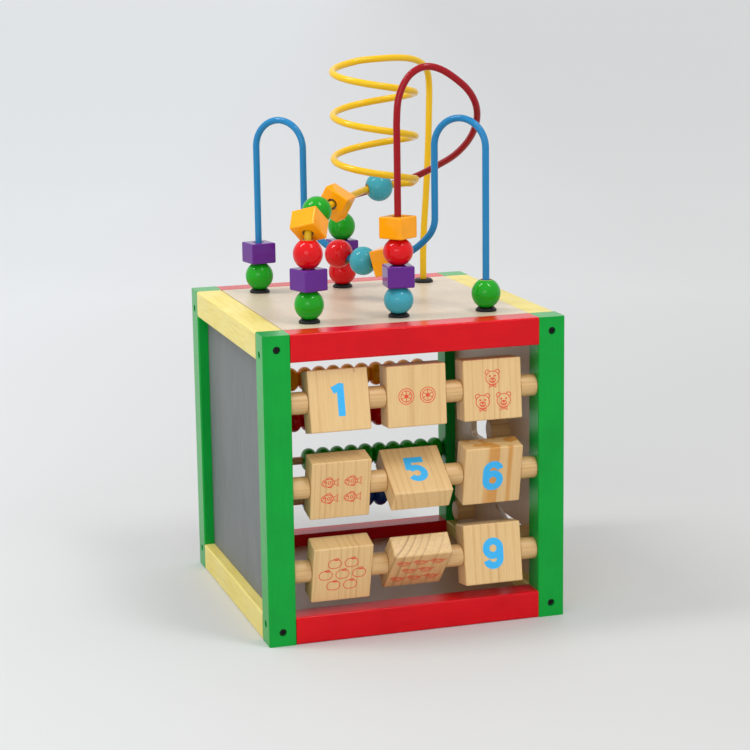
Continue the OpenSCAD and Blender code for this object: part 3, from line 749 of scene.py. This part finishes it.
PICTURES = {  # each block's picture and its places
    1: (sun, rows(0, 0, 1)),
    2: (drum, rows(20, 0, 2)),
    3: (bear, rows(20, 21, 1, 2)),
    4: (fish, rows(21, 15.5, 2, 2)),
    5: (flower, rows(16, 16, 2, 1, 2)),
    6: (leaf, rows(15, 19, 3, 3)),
    7: (apple, rows(15.5, 11.3, 2, 3, 2)),
    8: (bird, rows(16, 14, 3, 2, 3)),
    9: (star, rows(14, 14, 3, 3, 3)),
}
NUMERAL_IN_FRONT = {1, 5, 6, 9}  # the blocks that show their numeral at rest
DIGIT_STROKE, LINE_STROKE = 6.4, 0.68
INK_HEIGHT = 0.08
INK_STEP = 0.0015  # how far each of 12 strokes lies above the one before


def draw(name, strokes, place, width, look, body):
    """Ink strokes as one thin mesh. Each lies a hair above the one before, so that none share a surface."""
    mesh = bmesh.new()
    for k, (points, closed) in enumerate(strokes):
        ribbon(mesh, place, points, width, INK_HEIGHT + INK_STEP * (k % 12), closed)
    piece(name, mesh, look, body)


def print_on(number, block_place, digit, front):
    """The numeral or the pictures on one face, which stand upright when that face is turned to the front."""
    face = Matrix.Translation((0, -BLOCK_T / 2 * MM, 0)) @ Matrix.Rotation(math.pi / 2, 4, "X")
    place = block_place @ (face if front else Matrix.Rotation(math.pi, 4, "X") @ face)
    body = f"number_block_{number}"
    if digit:
        draw(f"numeral_{number}", DIGITS[number], place, DIGIT_STROKE, LOOKS["print_blue"], body)
    else:
        shape, spots = PICTURES[number]
        parts = [(u, v, *part) for u, v in spots for part in shape()]
        strokes = [([(x + u, y + v) for x, y in points], closed) for u, v, points, closed in parts]
        draw(f"pictures_{number}", strokes, place, LINE_STROKE, LOOKS["print_orange"], body)


HEARTS = {  # where the heart of the log lies from each block's middle, in metres, and how wide its rings are
    1: ((0.030, 0.055), 0.0060), 2: ((-0.020, 0.090), 0.0050), 3: ((0.080, -0.035), 0.0045),
    4: ((0.110, 0.050), 0.0048), 5: ((-0.095, 0.040), 0.0055), 6: ((0.024, 0.048), 0.0065),
    7: ((0.120, 0.012), 0.0060), 8: ((-0.080, 0.070), 0.0060), 9: ((0.090, 0.060), 0.0060),
}


def block_wood(number, place):
    """Pine for one block, each with grain of its own: the first has knots and the sixth brown bands."""
    (heart_x, heart_y), ring_width = HEARTS[number]
    heart = -(place @ Vector((heart_x, heart_y, 0.13 * number)))
    turn = place.to_euler("XYZ")
    tones = DARK_RINGS if number == 8 else PINE
    marks = {"knots": 0.8 if number == 1 else 0.0, "streak": 0.85 if number == 6 else 0.0}
    return wood(f"pine_{number}", heart, (-turn.x, -turn.y, -turn.z), ring_width, tones, **marks)


def number_block(number):
    """A drilled pine block as it hangs at rest, with a numeral on one face and pictures on the other."""
    node = f"number_block_{number}"
    thin = flat_ways(node)[-1]
    back = -thin if thin.y < 0 else thin
    side = Vector((1, 0, 0))
    place = Matrix.Translation(centre(node)) @ Matrix((side, back, side.cross(back))).transposed().to_4x4()
    look = block_wood(number, place)
    mesh = drilled(rounded_box((BLOCK_W, BLOCK_T, BLOCK_W), 1.4), ALONG_X, BLOCK_BORE, BLOCK_W, 0.6)
    mesh.transform(place)
    block = piece(f"block_{number}", mesh, look, node, (node,))
    weigh_normals(block)
    shows_digit = number in NUMERAL_IN_FRONT
    print_on(number, place, shows_digit, True)
    print_on(number, place, not shows_digit, False)


for block_number in range(1, 10):
    number_block(block_number)


# ---- spacers and abacus ----


SPACER_R, ROD_HOLE = 10, 5.1


def spacer_outline(length):
    """The outline of a turned tube with rounded ends and eased mouths."""
    half, ease = length / 2, 0.7
    mouth = ease * 0.6
    edge_r, edge_z = SPACER_R - ease, half - ease
    skin = bow(edge_r, edge_z, ease, 90, 0, 5) + bow(edge_r, -edge_z, ease, 0, -90, 5)
    upper, lower = (ROD_HOLE, half - mouth), (ROD_HOLE, mouth - half)
    return [upper, (ROD_HOLE + mouth, half), *skin, (ROD_HOLE + mouth, -half), lower]


def block_spacers():
    """Twelve turned spacers, each filling the gap beside a number block."""
    mesh = bmesh.new()
    clear = 0.3 * MM
    low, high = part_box("block_spacers")
    for row in range(3):
        blocks = [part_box(f"number_block_{3 * row + k + 1}") for k in range(3)]
        starts = [low.x, *(b[1].x + clear for b in blocks)]
        ends = [*(b[0].x - clear for b in blocks), high.x]
        middle = (blocks[0][0] + blocks[0][1]) / 2
        for start, end in zip(starts, ends):
            place = Matrix.Translation(((start + end) / 2, middle.y, middle.z)) @ ALONG_X
            lathe(mesh, spacer_outline((end - start) / MM), place, 56)
    look = wood("spacer_wood", (0.015, 0.03, 0.02), LOG_TO_X, 0.003, BEECH)
    piece("spacers", mesh, look, BODY_OF["block_spacers"], ("block_spacers",), 50)


def abacus_row(number):
    """Ten beads with half-round rims on one rod."""
    node = f"abacus_row_{number}"
    low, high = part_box(node)
    gap = 0.1
    radius = (high.z - low.z) / 2 / MM
    thick = ((high.x - low.x) / MM - 9 * gap) / 10
    bore = 4.3
    rim = thick / 2
    ease = 0.8
    rounded = bow(radius - rim, 0, rim, 90, -90, 24)
    outline = [(bore, rim - ease), (bore + ease, rim), *rounded, (bore + ease, -rim), (bore, ease - rim)]
    middle = centre(node)
    mesh = bmesh.new()
    for k in range(10):
        x = low.x + (k * (thick + gap) + rim) * MM
        lathe(mesh, outline, Matrix.Translation((x, middle.y, middle.z)) @ ALONG_X, 48)
    piece(f"abacus_beads_{number}", mesh, LOOKS[SLOT_OF[node]], node, (node,))


block_spacers()
for row_number in range(1, 6):
    abacus_row(row_number)


# ---- pegs of the sliding board ----


PEG_WOOD = wood("peg_wood", (0.02, 0.03, 0.0), LOG_TO_X, 0.0035, BEECH)


def peg(number):
    """A painted knob outside, a bare neck through the slot and a bare round end inside."""
    node = f"slider_{number}"
    low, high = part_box(node)
    middle = centre(node)
    board_low, board_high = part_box("track_panel")
    inner, outer = board_low.x - 0.3 * MM, board_high.x + 0.3 * MM
    knob_r, end_r, neck_r = 11, 10, 3.7
    # Each outline is for a length of 1 mm, and is drawn apart to its real length.
    knob = [(0.01, -0.5), (knob_r - 0.8, -0.5), *bow(knob_r - 0.8, -0.1, 0.4, -90, 0, 3),
            *bow(knob_r - 2.4, -1.9, 2.4, 0, 90, 8), (0.01, 0.5)]
    neck = [(neck_r, -0.5), (neck_r, 0.5)]
    end = [(0.01, -0.5), *bow(end_r - 2, 1.5, 2, -90, 0, 7), *bow(end_r - 0.5, 0, 0.5, 0, 90, 3), (0.01, 0.5)]
    mesh = bmesh.new()
    for start, stop, shape in ((outer, high.x, knob), (inner, outer, neck), (low.x, inner, end)):
        apart = ((stop - start) / MM - 1) / 2
        outline = [(r, h + (apart if h > 0 else -apart)) for r, h in shape]
        place = Matrix.Translation(((start + stop) / 2, middle.y, middle.z)) @ ALONG_X
        for face in lathe(mesh, outline, place, 48, close=False):
            face.material_index = 0 if shape is knob else 1
    bmesh.ops.remove_doubles(mesh, verts=mesh.verts, dist=2e-5)
    piece(f"peg_{number}", mesh, (LOOKS[SLOT_OF[node]], PEG_WOOD), node, (node,))


for peg_number in (1, 2, 3):
    peg(peg_number)


# ---- wires ----

WIRE_R = 3.2
WIRE_END = SIDE - 8.5  # the wires end in the top panel, this high
GRID_X, GRID_Y = 83.5, 89
# Where the wires stand: a rear and a front foot on the left, in the middle and on the right.
FEET = [(MID + GRID_X * x, MID + GRID_Y * y) for x in (-1, 0, 1) for y in (1, -1)]


def smooth(points, steps):
    """A curve through the points, with that many steps from each to the next."""
    spots = [Vector(p) for p in points]
    ends = [2 * spots[0] - spots[1], *spots, 2 * spots[-1] - spots[-2]]
    made = []
    for a, b, c, d in zip(ends, ends[1:], ends[2:], ends[3:]):
        slope, bend, twist = c - a, 2 * a - 5 * b + 4 * c - d, 3 * b - a - 3 * c + d
        for t in (k / steps for k in range(steps)):
            made.append((2 * b + slope * t + bend * t**2 + twist * t**3) / 2)
    return [*made, spots[-1]]


def blue_route():
    """Two arches with a wide valley between them, in the upright plane through two feet."""
    start, end = Vector(FEET[0]), Vector(FEET[5])
    way = (end - start).normalized()
    length = (end - start).length
    arch_r, valley_r = 26, 86
    first, second, bottom = 420.5, 428, 317.2
    leg_2, leg_3 = 2 * arch_r, length - 2 * arch_r
    middle, valley_z = (leg_2 + leg_3) / 2, bottom + valley_r
    side = middle - leg_2 - arch_r
    bend_z = valley_z - math.sqrt((valley_r - arch_r) ** 2 - side**2)
    bend = math.degrees(math.atan2(side, valley_z - bend_z))
    flat = [(0, WIRE_END), (0, WIRE_END + 60), (0, first - 40)]
    flat += bow(arch_r, first, arch_r, 180, 0, 40)
    flat += [(leg_2, first - 20)]
    flat += bow(leg_2 + arch_r, bend_z, arch_r, 180, 270 - bend, 10)[:-1]
    flat += bow(middle, valley_z, valley_r, 270 - bend, 270 + bend, 40)
    flat += bow(leg_3 - arch_r, bend_z, arch_r, 270 + bend, 360, 10)[1:]
    flat += [(leg_3, second - 20)]
    flat += bow(leg_3 + arch_r, second, arch_r, 180, 0, 40)
    flat += [(length, second - 40), (length, WIRE_END + 60), (length, WIRE_END)]
    return [Vector((start.x + way.x * s, start.y + way.y * s, z)) for s, z in flat]


def red_route():
    """From the rear middle foot out to the right in a wide, leaning loop, and down to the front middle."""
    rear, front = FEET[2], FEET[3]
    rise = [(*rear, WIRE_END), (*rear, 312), (*rear, 345), (*rear, 352)]
    loop = [(141, 228.5, 361), (147, 224, 368.5), (157, 216, 373), (178, 200, 381), (197, 178, 390),
            (210, 152, 402), (219, 126, 414), (224.5, 104, 428), (226, 87, 442), (224, 74, 456),
            (218, 64, 469), (208.5, 57, 480.5), (196, 53, 490.5), (183, 51.3, 498.5), (171, 51, 502),
            (160, 51, 500), (149.5, 51, 491.5), (142, 51, 475)]
    fall = [(*front, 455), (*front, 435), (*front, 340), (*front, WIRE_END)]
    return smooth([*rise, *loop, *fall], 8)


def bow_route():
    """The flat bow under the coil of the yellow wire, and the straight run that leaves it."""
    middle, radius, end = Vector((159, 140, 385.6)), 26, 141
    up = Vector((-0.13, 0.06, 1)).normalized()
    ahead = Vector((1, 0, 0.13)).normalized()
    aside = up.cross(ahead)

    def spot(degrees):
        a = math.radians(degrees)
        return middle + radius * (math.cos(a) * ahead + math.sin(a) * aside)

    run_to = Vector((70, 75.3, 375.3))
    run = [spot(end).lerp(run_to, t) for t in (0.25, 0.5, 0.8, 1)]
    return [*(spot(12 + 11.7 * k) for k in range(12)), *run]


def yellow_route():
    """From the rear right foot into a coil of nearly three turns, by a bow and a run to the front left."""
    rear, front = FEET[4], FEET[1]
    rise = [(*rear, WIRE_END), (*rear, 310), (225, 229, 340), (227.5, 229.5, 372), (230, 230, 415),
            (231, 229.5, 450), (230.5, 227, 472), (226, 219, 487), (216, 206.5, 496), (202, 195, 501),
            (185, 186, 503), (166, 180, 503)]
    coil_x, coil_y, coil_r, coil_top, drop = 147, 140, 38, 502, 40
    coil = []
    for a in (math.radians(d) for d in range(90, 1066, 15)):
        z = coil_top - drop * (a - math.pi / 2) / TAU
        coil.append((coil_x + coil_r * math.cos(a), coil_y + coil_r * math.sin(a), z))
    bend_r, bend_z, dir_x, dir_y = 24, 351, 0.454, 0.891
    bend = []
    for a in (math.radians(90 - 11.25 * k) for k in range(9)):
        out = bend_r * (1 - math.cos(a))
        bend.append((front[0] + dir_x * out, front[1] + dir_y * out, bend_z + bend_r * math.sin(a)))
    return smooth([*rise, *coil, *bow_route(), *bend, (*front, 330), (*front, WIRE_END)], 4)


def wire(name, node, route):
    """A round coated wire along the route, closed at its ends."""
    curve = bpy.data.curves.new(name, "CURVE")
    curve.dimensions = "3D"
    curve.bevel_depth = WIRE_R * MM
    curve.bevel_resolution = 6
    curve.use_fill_caps = True
    line = curve.splines.new("POLY")
    line.points.add(len(route) - 1)
    for point, spot in zip(line.points, route):
        point.co = (*at(*spot), 1)
    line.use_smooth = True
    obj = bpy.data.objects.new(name, curve)
    bpy.context.scene.collection.objects.link(obj)
    dress(obj, LOOKS[SLOT_OF[node]])
    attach(obj, BODY_OF[node])
    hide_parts(node)


wire("wire_blue", "blue_wire", blue_route())
wire("wire_red", "red_wire", red_route())
wire("wire_yellow", "yellow_wire", yellow_route())


def wire_feet():
    """Six turned plastic feet where the wires go into the top."""
    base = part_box("top_panel")[1].z
    height = (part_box("wire_feet")[1].z - base) / MM
    hole = WIRE_R + 0.1
    rim = [(9.2, 0), *bow(9.2, 0.4, 0.4, -90, 0, 3), *bow(8.7, 1.3, 0.9, 0, 70, 4)]
    crown = [*bow(7.6, height - 0.6, 0.6, 60, 90, 3), (5.6, height - 0.1)]
    outline = [(hole, 0), *rim, *crown, (hole + 0.4, height), (hole, height - 0.4)]
    mesh = bmesh.new()
    for x, y in FEET:
        lathe(mesh, outline, Matrix.Translation((*at(x, y, 0)[:2], base)), 56)
    piece("feet", mesh, LOOKS["foot_rubber"], BODY_OF["wire_feet"], ("wire_feet",), 40)


wire_feet()


# ---- maze beads ----

BALL, OVAL = (13.5, 23.6), (13.3, 25.4)  # radius and height
OVALS = ("bead_a1", "bead_b1", "bead_b3", "bead_b5", "bead_c3", "bead_e1")
BEAD_BORE = 5.2
CUBIT_W, CUBIT_H = 24.8, 19.6
SQUARE_SLOTS = ("bead_purple", "bead_orange")


def ball(name):
    """A turned bead: an arc from mouth to mouth, a bare wooden hole and eased mouths."""
    radius, height = OVAL if name in OVALS else BALL
    half, mouth = height / 2, BEAD_BORE + 0.4
    back = (mouth**2 + half**2 - radius**2) / (2 * (radius - mouth))
    lean = math.degrees(math.asin((half - 0.25) / (radius + back)))
    skin = bow(-back, 0, radius + back, lean, -lean, 40)
    lower = [(BEAD_BORE + 0.1, 0.15 - half), (BEAD_BORE, 0.9 - half)]
    upper = [(BEAD_BORE, half - 0.9), (BEAD_BORE + 0.1, half - 0.15)]
    steps = 56
    mesh = bmesh.new()
    faces = lathe(mesh, [*skin, *lower, *upper], bead_place(name, False), steps)
    for face in faces[steps * len(skin):]:
        face.material_index = 1
    return mesh


def cubit(name):
    """A square bead with rounded edges and a bare wooden hole."""
    place = bead_place(name, True)
    mesh = drilled(rounded_box((CUBIT_W, CUBIT_W, CUBIT_H), 1.3), Matrix.Identity(4), BEAD_BORE, CUBIT_H, 0.5)
    for face in mesh.faces:
        middle = face.calc_center_median() / MM
        if math.hypot(middle.x, middle.y) < BEAD_BORE + 0.1 and abs(middle.z) < CUBIT_H / 2 - 0.6:
            face.material_index = 1
    mesh.transform(place)
    return mesh


def maze_bead(node):
    """One bead of the maze, square or turned as its colour says, in place of its node."""
    slot = SLOT_OF[node]
    looks = (LOOKS[slot], LOOKS["bare_wood"])
    if slot in SQUARE_SLOTS:
        bead = piece(node.replace("bead", "cubit"), cubit(node), looks, BODY_OF[node], (node,))
        weigh_normals(bead)
    else:
        piece(node.replace("bead", "ball"), ball(node), looks, BODY_OF[node], (node,))


for bead_node in [n for n in NODES if n.startswith("bead_")]:
    maze_bead(bead_node)
